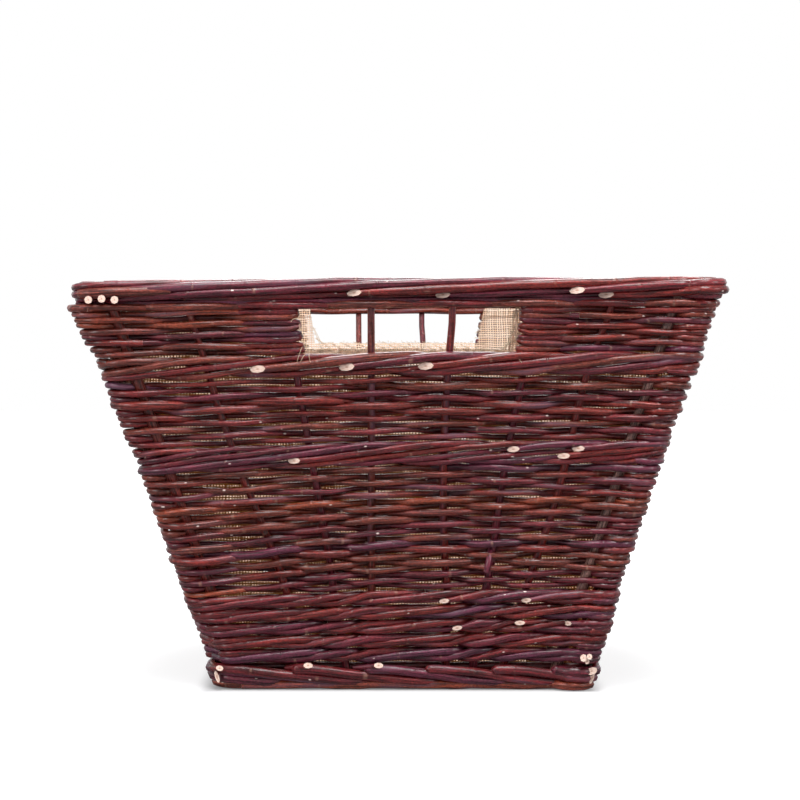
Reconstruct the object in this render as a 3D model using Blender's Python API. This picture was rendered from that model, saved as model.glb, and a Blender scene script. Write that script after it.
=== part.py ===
# A square, flared firewood basket of dark willow with a sewn-in hessian liner.
# Metres, +Z up. The origin is on the floor, at the middle of the foot. The front wall faces -Y.

import math

import bmesh
import bpy
from mathutils import Matrix, Vector

# Driving dimensions of the whole basket
FOOT_WIDTH = 0.307
RIM_WIDTH = 0.515
INSIDE_CORNER_RADIUS = 0.005
TIGHTEST_CORNER = 0.0015
CLEARANCE = 0.0003

# Height of each woven band, from the floor up
FOOT_HEIGHT = 0.0244
LOWER_WALE_HEIGHT = 0.063
LOWER_WEAVE_HEIGHT = 0.1044
MIDDLE_WALE_HEIGHT = 0.0204
UPPER_WEAVE_HEIGHT = 0.0524
HOLE_WALE_HEIGHT = 0.019
HOLE_HEIGHT = 0.0352
TOP_WALE_HEIGHT = 0.0052
BORDER_HEIGHT = 0.018

# Height of one row of rods in each kind of weave, and how deep the groove between rows is
HEAVY_ROW = 0.0079
WALE_ROW = 0.0066
WEAVE_ROW = 0.0052
ROW_GROOVE = 0.0015

# Hand holes in the front and back walls, seen from outside each wall
HOLE_TOP_WIDTH = 0.1702
HOLE_BOTTOM_WIDTH = 0.1606
HOLE_SHIFT = 0.0062

# Uprights: six stakes and two corner sticks in each wall
STAKE_BUTT_RADIUS = 0.0036
STAKE_TIP_RADIUS = 0.0028
CORNER_BUTT_RADIUS = 0.005
CORNER_TIP_RADIUS = 0.0046
LEFT_CORNER_INSET_FOOT = 0.0225
LEFT_CORNER_INSET_RIM = 0.0235
RIGHT_CORNER_INSET_FOOT = 0.0275
RIGHT_CORNER_INSET_RIM = 0.0345
UPRIGHT_FOOT_COVER = 0.006
UPRIGHT_RIM_COVER = 0.006

# What is left of the weave between the thickest upright and the groove of a row
WEAVE_COVER = 0.0017

# Plain weave: the room it leaves an upright as a share of the upright's radius, and how far a rod has
# crossed the wall at even steps round a corner
UPRIGHT_ROOM_SHARE = 1.17
CORNER_CROSSING_SHARES = (0.15, 0.85)

# Base: sticks from front to back, woven across
BASE_LIFT = 0.003
BASE_COVER = 0.0022
BASE_STICK_RADIUS = 0.004
BASE_STICK_SEAT = 0.003
BASE_STICK_MARGIN = 0.016

# Rolled rim border: how far it stands out past the wall on either side
BORDER_PROUD = 0.001
BORDER_OVERHANG = 0.0025

# Hessian liner and the thread that sews it in
LINER_THICKNESS = 0.0015
LINER_HEM = 0.022
LINER_HOLE_MARGIN = 0.001
THREAD_RADIUS = 0.0006
THREAD_BELOW_RIM = 0.002
THREAD_FROM_HOLE = 0.005
THREAD_CORNER = 0.006

# How far a cutter runs past what it cuts, and how close the points of a rod's caps are welded
OVERRUN = 0.004
WELD = 0.00001

# Stake places in a wall as shares of its half width, at the floor and at the rim
STAKE_FOOT_SHARES = (-0.469, -0.274, -0.147, 0.241, 0.382, 0.541)
STAKE_RIM_SHARES = (-0.678, -0.362, -0.087, 0.161, 0.421, 0.668)

# Outlines as shares of the ring's thickness, from outside in, and of its height, from below
FOOT_OUTLINE_SHARES = (
    (0.00, 0.00), (-0.16, 0.13), (-0.25, 0.38), (-0.15, 0.55), (-0.20, 0.74), (0.02, 1.00),
    (1.00, 1.00), (1.00, 0.00),
)
BORDER_OUTLINE_SHARES = (
    (0.08, 0.00), (0.00, 0.17), (0.07, 0.34), (0.00, 0.50), (0.07, 0.66), (0.04, 0.84), (0.25, 1.00),
    (0.72, 1.00), (0.95, 0.84), (1.00, 0.50), (0.95, 0.17), (0.88, 0.00),
)

CORNER_STEPS = 3
SHARPEST_SMOOTH = math.radians(40)
BASE_STICK_COUNT = 7
WALLS = ("front", "right", "back", "left")

BAND_HEIGHTS = (
    FOOT_HEIGHT, LOWER_WALE_HEIGHT, LOWER_WEAVE_HEIGHT, MIDDLE_WALE_HEIGHT, UPPER_WEAVE_HEIGHT,
    HOLE_WALE_HEIGHT, HOLE_HEIGHT, TOP_WALE_HEIGHT, BORDER_HEIGHT,
)
HEIGHT = sum(BAND_HEIGHTS)
WALL = 2 * (CORNER_BUTT_RADIUS + CLEARANCE + WEAVE_COVER + ROW_GROOVE)
CORNER_RADIUS = WALL + INSIDE_CORNER_RADIUS
BASE_THICKNESS = 2 * (BASE_STICK_RADIUS + CLEARANCE + BASE_COVER)
BORDER_THICKNESS = BORDER_PROUD + WALL + BORDER_OVERHANG
LEAN = (RIM_WIDTH - FOOT_WIDTH) / 2 / HEIGHT
HOLE_LOW = sum(BAND_HEIGHTS[:6])
HOLE_HIGH = sum(BAND_HEIGHTS[:7])
BORDER_LOW = sum(BAND_HEIGHTS[:8])
LINER_DEPTH = WALL + CLEARANCE
HEM_LOW = BORDER_LOW - CLEARANCE - LINER_HEM

# Colours as linear values, and roughness
DARK_WILLOW = (0.096, 0.033, 0.030, 1.0)
HEAVY_WILLOW = (0.078, 0.027, 0.028, 1.0)
RIM_WILLOW = (0.110, 0.047, 0.046, 1.0)
STAKE_WILLOW = (0.090, 0.034, 0.036, 1.0)
PALE_WILLOW = (0.300, 0.210, 0.180, 1.0)
BASE_WILLOW = (0.130, 0.060, 0.045, 1.0)
HESSIAN = (0.600, 0.420, 0.240, 1.0)
THREAD = (0.780, 0.690, 0.560, 1.0)
WILLOW_ROUGHNESS = 0.45
CLOTH_ROUGHNESS = 0.9


def clear_scene():
    for old in list(bpy.data.objects):
        bpy.data.objects.remove(old, do_unlink=True)


def add_collection(name):
    group = bpy.data.collections.new(name)
    bpy.context.scene.collection.children.link(group)
    return group


def give_material(item, colour, roughness):
    material = bpy.data.materials.new(item.name + "_finish")
    material.use_nodes = True
    shader = material.node_tree.nodes["Principled BSDF"]
    shader.inputs["Base Color"].default_value = colour
    shader.inputs["Roughness"].default_value = roughness
    shader.inputs["Metallic"].default_value = 0.0
    item.data.materials.clear()
    item.data.materials.append(material)


def half_width(height):
    """Half the basket's outer width at a height above the floor."""
    return FOOT_WIDTH / 2 + LEAN * height


def arc(centre, radius, start):
    """Points of a quarter turn, anticlockwise from the angle start."""
    angles = [start + math.pi / 2 * step / CORNER_STEPS for step in range(CORNER_STEPS + 1)]
    return [(centre[0] + radius * math.cos(a), centre[1] + radius * math.sin(a)) for a in angles]


def corner_at(height, depth):
    """Corner radius of the outline drawn in by depth, and how far out the corner's centre lies."""
    radius = max(CORNER_RADIUS - depth, TIGHTEST_CORNER)
    return radius, half_width(height) - depth - radius


def square_round(height, depth):
    """Anticlockwise outline of the basket at a height, drawn in by depth from its outside."""
    radius, reach = corner_at(height, depth)
    points = []
    for turn, (sign_x, sign_y) in enumerate(((1, 1), (-1, 1), (-1, -1), (1, -1))):
        points += arc((sign_x * reach, sign_y * reach), radius, turn * math.pi / 2)
    return points


def hole_edge(height, side):
    """Distance from a wall's middle line to its hand hole's left (-1) or right (1) edge."""
    share = (height - HOLE_LOW) / HOLE_HEIGHT
    width = HOLE_BOTTOM_WIDTH + share * (HOLE_TOP_WIDTH - HOLE_BOTTOM_WIDTH)
    return width / 2 + side * HOLE_SHIFT


def left_round(height, depth):
    """The outline's left part only, from the back wall's hand hole round to the front wall's."""
    radius, reach = corner_at(height, depth)
    outside = half_width(height) - depth
    points = [(-hole_edge(height, 1), outside)]
    points += arc((-reach, reach), radius, math.pi / 2)
    points += arc((-reach, -reach), radius, math.pi)
    points.append((-hole_edge(height, -1), -outside))
    return points


def loft(name, rows, low, around=True, ring=True):
    """A mesh through rows of points. around closes each row, and ring joins the last row to the first."""
    shape = bmesh.new()
    verts = [[shape.verts.new((x, y, z - low)) for x, y, z in row] for row in rows]
    across = len(rows[0])
    for index in range(len(rows) if ring else len(rows) - 1):
        here = verts[index]
        after = verts[(index + 1) % len(rows)]
        for step in range(across if around else across - 1):
            following = (step + 1) % across
            shape.faces.new((here[step], here[following], after[following], after[step]))
    if not ring:
        shape.faces.new(verts[0])
        shape.faces.new(verts[-1])
    if not around:
        shape.faces.new([row[0] for row in verts])
        shape.faces.new([row[-1] for row in verts])
    bmesh.ops.recalc_face_normals(shape, faces=shape.faces)
    mesh = bpy.data.meshes.new(name)
    shape.to_mesh(mesh)
    shape.free()
    mesh.shade_smooth()
    mesh.set_sharp_from_angle(angle=SHARPEST_SMOOTH)
    return mesh


def place(name, mesh, low, group):
    item = bpy.data.objects.new(name, mesh)
    item.location = (0, 0, low)
    group.objects.link(item)
    return item


def outline_rows(outline, profile):
    """One row of points for each (depth, height) of a profile."""
    return [[(x, y, height) for x, y in outline(height, depth)] for depth, height in profile]


def ribbed_profile(low, high, row_height):
    """A band's section: one rib for each row of rods outside, and a plain face inside."""
    rows = max(1, round((high - low) / row_height))
    profile = []
    for index in range(rows):
        profile.append((ROW_GROOVE, low + (high - low) * index / rows))
        profile.append((0, low + (high - low) * (index + 0.5) / rows))
    return profile + [(ROW_GROOVE, high), (WALL, high), (WALL, low)]


def shared_profile(shares, low, high, thickness, proud):
    return [(across * thickness - proud, low + up * (high - low)) for across, up in shares]


def cut(item, cutter):
    modifier = item.modifiers.new("cut_" + cutter.name, "BOOLEAN")
    modifier.operation = "DIFFERENCE"
    modifier.solver = "EXACT"
    modifier.object = cutter


def tube(name, points, radii, group, cyclic=False):
    """A round rod through points, as a curve with filled caps."""
    curve = bpy.data.curves.new(name, "CURVE")
    curve.dimensions = "3D"
    curve.bevel_depth = 1
    curve.bevel_resolution = 1
    curve.use_fill_caps = not cyclic
    spline = curve.splines.new("POLY")
    spline.points.add(len(points) - 1)
    for point, place_at, radius in zip(spline.points, points, radii):
        point.co = (*place_at, 1)
        point.radius = radius
    spline.use_cyclic_u = cyclic
    item = bpy.data.objects.new(name, curve)
    group.objects.link(item)
    return item


def meshed(item, group):
    """The curve's evaluated mesh as a new object with welded caps, in place of the curve."""
    graph = bpy.context.evaluated_depsgraph_get()
    mesh = bpy.data.meshes.new_from_object(item.evaluated_get(graph))
    shape = bmesh.new()
    shape.from_mesh(mesh)
    bmesh.ops.remove_doubles(shape, verts=shape.verts, dist=WELD)
    shape.to_mesh(mesh)
    shape.free()
    made = bpy.data.objects.new(item.name + "_mesh", mesh)
    made.matrix_world = item.matrix_world
    group.objects.link(made)
    bpy.data.objects.remove(item, do_unlink=True)
    return made


def joined_cutter(name, curves, group):
    """One cutter made of many tubes, each already in world coordinates."""
    shape = bmesh.new()
    for curve in curves:
        made = meshed(curve, group)
        shape.from_mesh(made.data)
        bpy.data.objects.remove(made, do_unlink=True)
    mesh = bpy.data.meshes.new(name)
    shape.to_mesh(mesh)
    shape.free()
    cutter = place(name, mesh, 0, group)
    cutter.hide_render = True
    cutter.display_type = "WIRE"
    return cutter


def wall_point(height, across, depth=WALL / 2):
    """A point of the front wall, in the middle of its thickness or drawn in by depth from its outside."""
    return Vector((across, depth - half_width(height), height))


def corner_point(height, share, depth):
    """A point of the corner right of the front wall, a share of the way round and drawn in by depth."""
    radius, reach = corner_at(height, depth)
    angle = (share - 1) * math.pi / 2
    return Vector((reach + radius * math.cos(angle), radius * math.sin(angle) - reach, height))


def upright_specs():
    """Name ending, foot point, tip point and end radii of the front wall's eight uprights."""
    low = UPRIGHT_FOOT_COVER
    high = HEIGHT - UPRIGHT_RIM_COVER
    specs = []
    corner_sides = (
        ("corner_stick_left", -1, LEFT_CORNER_INSET_FOOT, LEFT_CORNER_INSET_RIM),
        ("corner_stick_right", 1, RIGHT_CORNER_INSET_FOOT, RIGHT_CORNER_INSET_RIM),
    )
    for ending, side, foot_inset, rim_inset in corner_sides:
        foot_across = side * (half_width(0) - foot_inset)
        rim_across = side * (half_width(HEIGHT) - rim_inset)
        specs.append((ending, foot_across, rim_across, CORNER_BUTT_RADIUS, CORNER_TIP_RADIUS))
    for number, (foot_share, rim_share) in enumerate(zip(STAKE_FOOT_SHARES, STAKE_RIM_SHARES), 1):
        foot_across = foot_share * half_width(0)
        rim_across = rim_share * half_width(HEIGHT)
        specs.append((f"stake_{number}", foot_across, rim_across, STAKE_BUTT_RADIUS, STAKE_TIP_RADIUS))
    placed = []
    for ending, foot_across, rim_across, butt, tip in specs:
        slope = (rim_across - foot_across) / HEIGHT
        foot = wall_point(low, foot_across + slope * low)
        top = wall_point(high, foot_across + slope * high)
        placed.append((ending, foot, top, butt, tip))
    return placed


def add_uprights(group):
    """Stakes and corner sticks of all four walls, each wall's parented to its own empty."""
    for turn, wall in enumerate(WALLS):
        carrier = bpy.data.objects.new(wall + "_wall", None)
        carrier.rotation_euler = (0, 0, turn * math.pi / 2)
        group.objects.link(carrier)
        for ending, foot, top, butt, tip in upright_specs():
            stick = tube(f"{wall}_{ending}", [Vector(), top - foot], [butt, tip], group)
            stick.location = foot
            stick.parent = carrier
            pale = "corner" in ending
            give_material(stick, PALE_WILLOW if pale else STAKE_WILLOW, WILLOW_ROUGHNESS)


def upright_channels(group):
    tubes = []
    for turn in range(len(WALLS)):
        spin = Matrix.Rotation(turn * math.pi / 2, 3, "Z")
        for ending, foot, top, butt, tip in upright_specs():
            along = (top - foot).normalized() * CLEARANCE
            points = [spin @ (foot - along), spin @ (top + along)]
            radii = [butt + CLEARANCE, tip + CLEARANCE]
            tubes.append(tube("channel", points, radii, group))
    return joined_cutter("upright_channels", tubes, group)


def base_stick_specs():
    """Front and back end points of each base stick."""
    middle = BASE_LIFT + BASE_THICKNESS / 2
    inside = half_width(middle) - WALL
    outermost = inside - BASE_STICK_MARGIN
    reach = inside + BASE_STICK_SEAT
    specs = []
    for index in range(BASE_STICK_COUNT):
        across = outermost * (2 * index / (BASE_STICK_COUNT - 1) - 1)
        specs.append((Vector((across, -reach, middle)), Vector((across, reach, middle))))
    return specs


def add_base_sticks(group):
    for number, (front, back) in enumerate(base_stick_specs(), 1):
        radii = [BASE_STICK_RADIUS, BASE_STICK_RADIUS]
        stick = tube(f"base_stick_{number}", [Vector(), back - front], radii, group)
        stick.location = front
        give_material(stick, BASE_WILLOW, WILLOW_ROUGHNESS)


def base_stick_channels(group):
    tubes = []
    for front, back in base_stick_specs():
        along = (back - front).normalized() * CLEARANCE
        radius = BASE_STICK_RADIUS + CLEARANCE
        tubes.append(tube("channel", [front - along, back + along], [radius, radius], group))
    return joined_cutter("base_stick_channels", tubes, group)


def passing(post, height, before):
    """Where a rod of plain weave passes an upright: its place along the wall, depth and thickness."""
    _, foot, top, butt, tip = post
    share = (height - foot.z) / (top.z - foot.z)
    room = (butt + share * (tip - butt) + CLEARANCE) * UPRIGHT_ROOM_SHARE
    thick = WALL / 2 - room
    return foot.x + share * (top.x - foot.x), thick / 2 if before else WALL - thick / 2, thick


def rod_section(point_at, where, height, depth, thick, tall):
    """The four corners of a rod, through point_at(height, where, depth)."""
    around = ((0, -thick / 2), (tall / 2, 0), (0, thick / 2), (-tall / 2, 0))
    return [point_at(height + up, where, depth + inward) for up, inward in around]


def woven_rows(low, high, row_height):
    """Sections of one rod that winds up a band, before and behind the uprights by turns.

    Its rows are level, and it steps up from one to the next at the corner of the back and left walls.
    """
    rows = max(1, round((high - low) / row_height))
    rise = (high - low) / rows
    tall = rise - CLEARANCE
    posts = sorted(upright_specs(), key=lambda post: post[1].x)
    sections = []
    for row in range(rows):
        height = low + (row + 0.5) * rise
        for turn in (3, 0, 1, 2):
            made = []
            for number, post in enumerate(posts):
                across, depth, thick = passing(post, height, (row + number) % 2 == 0)
                made.append(rod_section(wall_point, across, height, depth, thick, tall))
            steps_up = turn == 2
            if not (steps_up and row == rows - 1):
                climb = rise if steps_up else 0
                for step, crossed in enumerate(CORNER_CROSSING_SHARES, 1):
                    share = step / (len(CORNER_CROSSING_SHARES) + 1)
                    crossed = min(crossed, 1 - crossed) if steps_up else crossed
                    here = depth + crossed * (WALL - 2 * depth)
                    made.append(rod_section(corner_point, share, height + share * climb, here, thick, tall))
            spin = Matrix.Rotation(turn * math.pi / 2, 3, "Z")
            sections += [[spin @ point for point in section] for section in made]
    return sections


def add_bands(group, channels):
    """The woven bands that make the walls, one above the other, and the two parts beside the hand holes."""
    bands = (
        ("lower_wale", 1, HEAVY_ROW, HEAVY_WILLOW),
        ("lower_weave", 2, WEAVE_ROW, DARK_WILLOW),
        ("middle_wale", 3, WALE_ROW, HEAVY_WILLOW),
        ("upper_weave", 4, WEAVE_ROW, DARK_WILLOW),
        ("hole_wale", 5, WALE_ROW, HEAVY_WILLOW),
        ("top_wale", 7, WALE_ROW, RIM_WILLOW),
    )
    for name, index, row_height, colour in bands:
        low = sum(BAND_HEIGHTS[:index])
        high = sum(BAND_HEIGHTS[: index + 1]) - CLEARANCE
        if row_height == WEAVE_ROW:
            mesh = loft(name, woven_rows(low, high, row_height), low, ring=False)
        else:
            mesh = loft(name, outline_rows(square_round, ribbed_profile(low, high, row_height)), low)
        band = place(name, mesh, low, group)
        cut(band, channels)
        give_material(band, colour, WILLOW_ROUGHNESS)

    profile = ribbed_profile(HOLE_LOW, HOLE_HIGH - CLEARANCE, WEAVE_ROW)
    mesh = loft("hand_weave", outline_rows(left_round, profile), HOLE_LOW, around=False)
    for name, angle in (("left_hand_weave", 0), ("right_hand_weave", math.pi)):
        band = place(name, mesh.copy(), HOLE_LOW, group)
        band.rotation_euler = (0, 0, angle)
        cut(band, channels)
        give_material(band, DARK_WILLOW, WILLOW_ROUGHNESS)
    bpy.data.meshes.remove(mesh)


def add_foot(group, channels, stick_channels):
    profile = shared_profile(FOOT_OUTLINE_SHARES, 0, FOOT_HEIGHT - CLEARANCE, WALL, 0)
    foot = place("foot_border", loft("foot_border", outline_rows(square_round, profile), 0), 0, group)
    cut(foot, channels)
    cut(foot, stick_channels)
    give_material(foot, HEAVY_WILLOW, WILLOW_ROUGHNESS)


def add_base(group, stick_channels):
    low = BASE_LIFT
    high = BASE_LIFT + BASE_THICKNESS
    profile = [(WALL + CLEARANCE, low), (WALL + CLEARANCE, high)]
    rows = outline_rows(square_round, profile)
    base = place("base_weave", loft("base_weave", rows, low, ring=False), low, group)
    cut(base, stick_channels)
    give_material(base, BASE_WILLOW, WILLOW_ROUGHNESS)


def add_border(group, channels):
    profile = shared_profile(BORDER_OUTLINE_SHARES, BORDER_LOW, HEIGHT, BORDER_THICKNESS, BORDER_PROUD)
    rows = outline_rows(square_round, profile)
    border = place("top_border", loft("top_border", rows, BORDER_LOW), BORDER_LOW, group)
    cut(border, channels)
    give_material(border, RIM_WILLOW, WILLOW_ROUGHNESS)


def hole_cutter(group):
    """Cuts the liner at both hand holes, a little outside their edges."""
    low = HOLE_LOW - LINER_HOLE_MARGIN
    high = HOLE_HIGH + LINER_HOLE_MARGIN
    shape = bmesh.new()
    for turn in (0, math.pi):
        made = bmesh.ops.create_cube(shape, size=1.0)["verts"]
        for vert in made:
            height = high if vert.co.z > 0 else low
            side = 1 if vert.co.x > 0 else -1
            across = side * (hole_edge(height, side) + LINER_HOLE_MARGIN)
            outermost = half_width(high) - WALL + OVERRUN
            innermost = half_width(low) - LINER_DEPTH - 2 * LINER_THICKNESS - OVERRUN
            inward = -innermost if vert.co.y > 0 else -outermost
            vert.co = (across, inward, height)
        bmesh.ops.rotate(shape, verts=made, cent=Vector(), matrix=Matrix.Rotation(turn, 3, "Z"))
    bmesh.ops.recalc_face_normals(shape, faces=shape.faces)
    mesh = bpy.data.meshes.new("hand_hole_cutter")
    shape.to_mesh(mesh)
    shape.free()
    cutter = place("hand_hole_cutter", mesh, 0, group)
    cutter.hide_render = True
    cutter.display_type = "WIRE"
    return cutter


def add_liner(group, holes):
    """A bag of hessian that lies on the walls and the base, doubled at its top edge."""
    low = BASE_LIFT + BASE_THICKNESS + CLEARANCE
    high = BORDER_LOW - CLEARANCE
    single = LINER_DEPTH + LINER_THICKNESS
    double = LINER_DEPTH + 2 * LINER_THICKNESS
    profile = [
        (LINER_DEPTH, low),
        (LINER_DEPTH, high),
        (double, high),
        (double, HEM_LOW),
        (single, HEM_LOW),
        (single, low + LINER_THICKNESS),
    ]
    rows = outline_rows(square_round, profile)
    liner = place("hessian_liner", loft("hessian_liner", rows, low, ring=False), low, group)
    cut(liner, holes)
    give_material(liner, HESSIAN, CLOTH_ROUGHNESS)


def thread_wall_point(height, across, layers):
    """A point where thread lies on the liner of the front wall."""
    surface = LINER_DEPTH + layers * LINER_THICKNESS
    inward = surface + (CLEARANCE + THREAD_RADIUS) * math.hypot(1, LEAN)
    return Vector((across, inward - half_width(height), height))


def add_threads(group):
    """The running thread below the rim, and the thread round each hand hole."""
    height = BORDER_LOW - THREAD_BELOW_RIM
    points = []
    for turn in range(len(WALLS)):
        spin = Matrix.Rotation(turn * math.pi / 2, 3, "Z")
        level = thread_wall_point(height, 0, 2)
        for side in (-1, 1):
            points.append(spin @ Vector((side * (-level.y - THREAD_CORNER), level.y, height)))
    rim = tube("rim_thread", points, [THREAD_RADIUS] * len(points), group, cyclic=True)
    give_material(rim, THREAD, CLOTH_ROUGHNESS)

    low = HOLE_LOW - THREAD_FROM_HOLE
    high = HEM_LOW - THREAD_RADIUS - CLEARANCE
    for name, angle in (("front_hole_thread", 0), ("back_hole_thread", math.pi)):
        across_left = -hole_edge(HOLE_LOW, -1) - THREAD_FROM_HOLE
        across_right = hole_edge(HOLE_LOW, 1) + THREAD_FROM_HOLE
        route = [
            thread_wall_point(high, across_left, 1),
            thread_wall_point(low + THREAD_CORNER, across_left, 1),
            thread_wall_point(low, across_left + THREAD_CORNER, 1),
            thread_wall_point(low, across_right - THREAD_CORNER, 1),
            thread_wall_point(low + THREAD_CORNER, across_right, 1),
            thread_wall_point(high, across_right, 1),
        ]
        thread = tube(name, route, [THREAD_RADIUS] * len(route), group)
        thread.rotation_euler = (0, 0, angle)
        give_material(thread, THREAD, CLOTH_ROUGHNESS)


def main():
    clear_scene()
    basket = add_collection("firewood_basket")
    cutters = add_collection("cutters")
    channels = upright_channels(cutters)
    stick_channels = base_stick_channels(cutters)
    holes = hole_cutter(cutters)
    add_foot(basket, channels, stick_channels)
    add_base(basket, stick_channels)
    add_base_sticks(basket)
    add_bands(basket, channels)
    add_border(basket, channels)
    add_uprights(basket)
    add_liner(basket, holes)
    add_threads(basket)


main()
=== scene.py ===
import math

import bmesh
import bpy
import numpy as np
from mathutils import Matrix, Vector


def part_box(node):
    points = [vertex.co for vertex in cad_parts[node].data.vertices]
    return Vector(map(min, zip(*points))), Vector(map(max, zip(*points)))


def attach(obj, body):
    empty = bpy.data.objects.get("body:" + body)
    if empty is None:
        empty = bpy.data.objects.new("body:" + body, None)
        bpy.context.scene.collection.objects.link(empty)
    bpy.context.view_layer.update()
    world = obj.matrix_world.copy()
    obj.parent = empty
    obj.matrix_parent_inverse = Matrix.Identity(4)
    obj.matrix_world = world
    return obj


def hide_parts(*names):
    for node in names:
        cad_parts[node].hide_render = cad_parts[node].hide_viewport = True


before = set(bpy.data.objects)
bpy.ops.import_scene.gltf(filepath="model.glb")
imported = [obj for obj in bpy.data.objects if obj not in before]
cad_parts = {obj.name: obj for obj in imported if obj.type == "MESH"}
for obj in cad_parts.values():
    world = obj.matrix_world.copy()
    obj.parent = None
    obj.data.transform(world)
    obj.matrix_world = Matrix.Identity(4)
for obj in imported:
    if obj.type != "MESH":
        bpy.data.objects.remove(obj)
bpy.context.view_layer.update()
scene = bpy.context.scene
dice = np.random.RandomState(29)


def mm(*sizes):
    return np.array(sizes) / 1000


# The whole basket, in metres: square in plan, with walls that lean out
basket = {
    "footHalf": 0.1535,  # half the outer width on the floor
    "lean": 0.3041,  # how far a wall leans out for each metre of height
    "wall": 0.017,
    "cornerRadius": 0.022,
    "height": 0.342,
    "round": 32,  # uprights in one round, eight to a wall
    "squeeze": 0.0003,  # a rod is pressed into the inner face by this much
}

# Rods can't turn a corner sharply, so there they stand out from the wall by this much at each height
corners = {
    "heights": mm(0, 24, 28, 50, 80, 100, 140, 190, 210, 262, 280, 290, 322, 328, 342),
    "frontLeft": mm(2, 2, -11, -4, 1, 0, 0, 1, 3, 4, 4, 9, 12, 7, 6),
    "frontRight": mm(15, 15, 11, 13, 9, 6, 6, 5, 3, 5, 9, 6, 6, 15, 9),
    "elsewhere": mm(8, 8, 6, 5, 5, 5, 5, 5, 5, 5, 6, 6, 6, 6, 5),
    "swell": 0.10,  # rods are a little thicker there
    "swellReach": 0.75,  # counted in uprights
    "late": 0.45,  # a rod changes sides close to the stick that it goes behind
    "lift": 0.0040,  # and stands out more just before
    "liftAt": 0.32,  # share of the way from that stick
    "liftReach": 0.2,
    "shallow": 0.0025,  # and lies close to that stick
}

# Where the rows sink towards the front left corner, as the maker's hand left them
dip = {
    "heights": mm(0, 24, 87, 140, 192, 212, 265, 320, 345),
    "depths": mm(0, 1, 8, 14, 9, 8, 6, 4, 3),
    "levelFrom": 0.05,  # the front wall's rows are level to the right of this
    "sideReach": 0.03,
    "power": 1.35,
}


def paint(red, green, blue):
    # a screen colour from 0 to 255 as the linear one that a shader takes
    values = [v / 255 for v in (red, green, blue)]
    return [v / 12.92 if v <= 0.04045 else ((v + 0.055) / 1.055) ** 2.4 for v in values] + [1.0]


# ---- uprights

uprights = {
    "footShares": (-0.469, -0.274, -0.147, 0.241, 0.382, 0.541),  # stakes, as shares of the half width
    "rimShares": (-0.678, -0.362, -0.087, 0.161, 0.421, 0.668),
    "leftInsets": (0.0225, 0.0235),  # corner sticks, at the foot and at the rim
    "rightInsets": (0.0275, 0.0345),
    "stakeRadii": (0.0036, 0.0028),
    "cornerRadii": (0.0050, 0.0046),
    "low": 0.006,
    "high": 0.336,
    "strayHeights": mm(90, 130, 170, 210, 250, 300),
    "frontStray": (  # how far the front wall's sticks bend sideways at those heights
        mm(0, 0, 0, 0, 0, 0), mm(3.4, 2.4, 0.3, -2.2, -1.2, 0), mm(0, 0.6, 1.0, -0.8, -0.4, 0),
        mm(-1.2, -1.0, -0.8, -0.6, -0.5, -0.4), mm(0.4, -2.5, -4.2, -4.2, -3.2, -0.2),
        mm(0, -0.2, -1.2, -1.2, 0.4, 0), mm(-1.4, 1.0, 1.2, -0.2, -3.0, -0.6), mm(0, 0, 0, 0, 0, 0),
    ),
    "strayElsewhere": 0.0009,
    "cornerShare": 0.15,  # corner sticks stray less
    "buttEnd": (0.0706, 0.1025),  # where the front wall's fifth stake ends, across and up
}


def halfWidth(z):
    return basket["footHalf"] + basket["lean"] * z


def standingPlaces(shares, level, z):
    half = halfWidth(z)
    stakes = [share * half for share in shares]
    return np.array([uprights["leftInsets"][level] - half, *stakes, half - uprights["rightInsets"][level]])


footPlaces = standingPlaces(uprights["footShares"], 0, 0)
rimPlaces = standingPlaces(uprights["rimShares"], 1, basket["height"])
strayMiddle = (uprights["strayHeights"][0] + uprights["strayHeights"][-1]) / 2
strayReach = (uprights["strayHeights"][-1] - uprights["strayHeights"][0]) / 2
strayCurves = []
for number in range(basket["round"]):
    if number < 8:
        bends = uprights["frontStray"][number]
    else:
        share = uprights["cornerShare"] if number % 8 in (0, 7) else 1
        bends = dice.normal(0, uprights["strayElsewhere"] * share, 6)
    strayCurves.append(np.polyfit((uprights["strayHeights"] - strayMiddle) / strayReach, bends, 4))
strayCurves = np.array(strayCurves)


def standingAt(number, z):
    # how far along its wall upright number stands at height z
    t = np.clip((z - strayMiddle) / strayReach, -1.05, 1.05)
    bend = np.zeros_like(z)
    for power in range(5):
        bend = bend * t + strayCurves[number % basket["round"], power]
    foot, rim = footPlaces[number % 8], rimPlaces[number % 8]
    return foot + (rim - foot) * (z / basket["height"]) + bend


def stickRadius(number, z):
    corner = np.isin(number % 8, (0, 7))
    low, high = (np.where(corner, *pair) for pair in zip(uprights["cornerRadii"], uprights["stakeRadii"]))
    return low + (high - low) * (z / basket["height"])


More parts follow.
